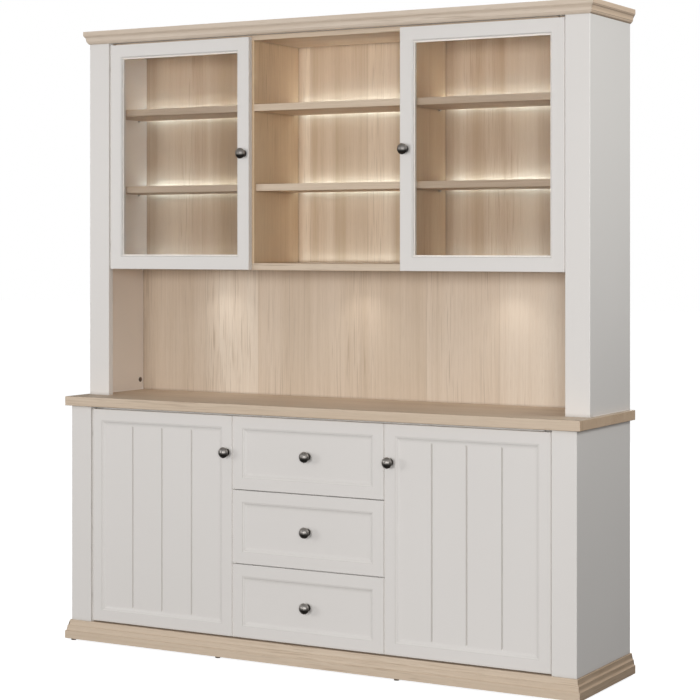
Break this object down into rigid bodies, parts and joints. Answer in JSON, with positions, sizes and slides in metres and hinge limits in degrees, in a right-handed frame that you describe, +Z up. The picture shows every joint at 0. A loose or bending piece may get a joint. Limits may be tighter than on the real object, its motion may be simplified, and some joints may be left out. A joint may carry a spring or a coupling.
{
  "type": "buffet and hutch",
  "caption": "White buffet cabinet with plank doors and drawers under a light wood top, carrying a hutch with glazed doors, open shelves and a lit niche.",
  "frame": {"origin": "on the floor, at the middle of the footprint box of the whole piece", "axes": "+Z up, +X to the right as one faces the doors, -Y towards the person who opens them"},
  "size_m": [1.82, 0.439, 2.001],
  "materials": {
    "light_wood": "light oak grain, matt",
    "white_lacquer": "off-white satin lacquer",
    "drawer_board": "white melamine",
    "pane_glass": "clear float glass",
    "knob_metal": "polished black nickel",
    "hinge_steel": "nickel plated",
    "runner_steel": "zinc plated",
    "light_diffuser": "frosted diffuser",
    "brown_plastic": "dark brown moulded"
  },
  "bodies": {
    "carcass": {"base_back_panel": "white_lacquer", "base_bottom_panel": "white_lacquer", "base_left_post": "white_lacquer", "base_left_side": "white_lacquer", "base_partitions": "white_lacquer", "base_right_post": "white_lacquer", "base_right_side": "white_lacquer", "base_shelves": "light_wood", "base_top_rails": "white_lacquer", "countertop": "light_wood", "crown_front": "light_wood", "crown_returns": "light_wood", "drawer_runner_rails": "runner_steel", "fixing_caps": "brown_plastic", "foot_glides": "brown_plastic", "hinge_arms": "hinge_steel", "hutch_back_panel": "light_wood", "hutch_bottom_panel": "light_wood", "hutch_left_divider": "light_wood", "hutch_left_post": "white_lacquer", "hutch_left_side": "white_lacquer", "hutch_right_divider": "light_wood", "hutch_right_post": "white_lacquer", "hutch_right_side": "white_lacquer", "hutch_shelves": "light_wood", "hutch_top_panel": "light_wood", "hutch_top_rails": "white_lacquer", "niche_back_panel": "light_wood", "niche_spot_lights": "light_diffuser", "plinth_back_rail": "light_wood", "plinth_front": "light_wood", "plinth_returns": "light_wood", "shelf_light_bars": "light_diffuser", "shelf_pins": "hinge_steel"},
    "left_base_door": {"base_left_door": "white_lacquer", "base_left_door_hinge_cups": "hinge_steel", "base_left_door_knob": "knob_metal"},
    "left_glass_door": {"hutch_left_door_frame": "white_lacquer", "hutch_left_door_pane": "pane_glass", "hutch_left_door_hinge_cups": "hinge_steel", "hutch_left_door_knob": "knob_metal"},
    "right_base_door": {"base_right_door": "white_lacquer", "base_right_door_hinge_cups": "hinge_steel", "base_right_door_knob": "knob_metal"},
    "right_glass_door": {"hutch_right_door_frame": "white_lacquer", "hutch_right_door_pane": "pane_glass", "hutch_right_door_hinge_cups": "hinge_steel", "hutch_right_door_knob": "knob_metal"},
    "top_drawer": {"top_drawer_front": "white_lacquer", "top_drawer_box": "drawer_board", "top_drawer_slides": "runner_steel", "top_drawer_knob": "knob_metal"},
    "middle_drawer": {"middle_drawer_front": "white_lacquer", "middle_drawer_box": "drawer_board", "middle_drawer_slides": "runner_steel", "middle_drawer_knob": "knob_metal"},
    "bottom_drawer": {"bottom_drawer_front": "white_lacquer", "bottom_drawer_box": "drawer_board", "bottom_drawer_slides": "runner_steel", "bottom_drawer_knob": "knob_metal"}
  },
  "joints": [
    {"name": "left_base_door_hinge", "type": "hinge", "parent": "carcass", "child": "left_base_door", "pos_m": [-0.794, -0.1745, 0.4144], "axis": [0, 0, -1], "range_deg": [0, 95]},
    {"name": "left_glass_door_hinge", "type": "hinge", "parent": "carcass", "child": "left_glass_door", "pos_m": [-0.794, -0.0775, 1.584], "axis": [0, 0, -1], "range_deg": [0, 95]},
    {"name": "right_base_door_hinge", "type": "hinge", "parent": "carcass", "child": "right_base_door", "pos_m": [0.794, -0.1745, 0.4144], "axis": [0, 0, 1], "range_deg": [0, 95]},
    {"name": "right_glass_door_hinge", "type": "hinge", "parent": "carcass", "child": "right_glass_door", "pos_m": [0.794, -0.0775, 1.584], "axis": [0, 0, 1], "range_deg": [0, 95]},
    {"name": "top_drawer_slide", "type": "slide", "parent": "carcass", "child": "top_drawer", "axis": [0, -1, 0], "range_m": [0, 0.27]},
    {"name": "middle_drawer_slide", "type": "slide", "parent": "carcass", "child": "middle_drawer", "axis": [0, -1, 0], "range_m": [0, 0.27]},
    {"name": "bottom_drawer_slide", "type": "slide", "parent": "carcass", "child": "bottom_drawer", "axis": [0, -1, 0], "range_m": [0, 0.27]}
  ]
}
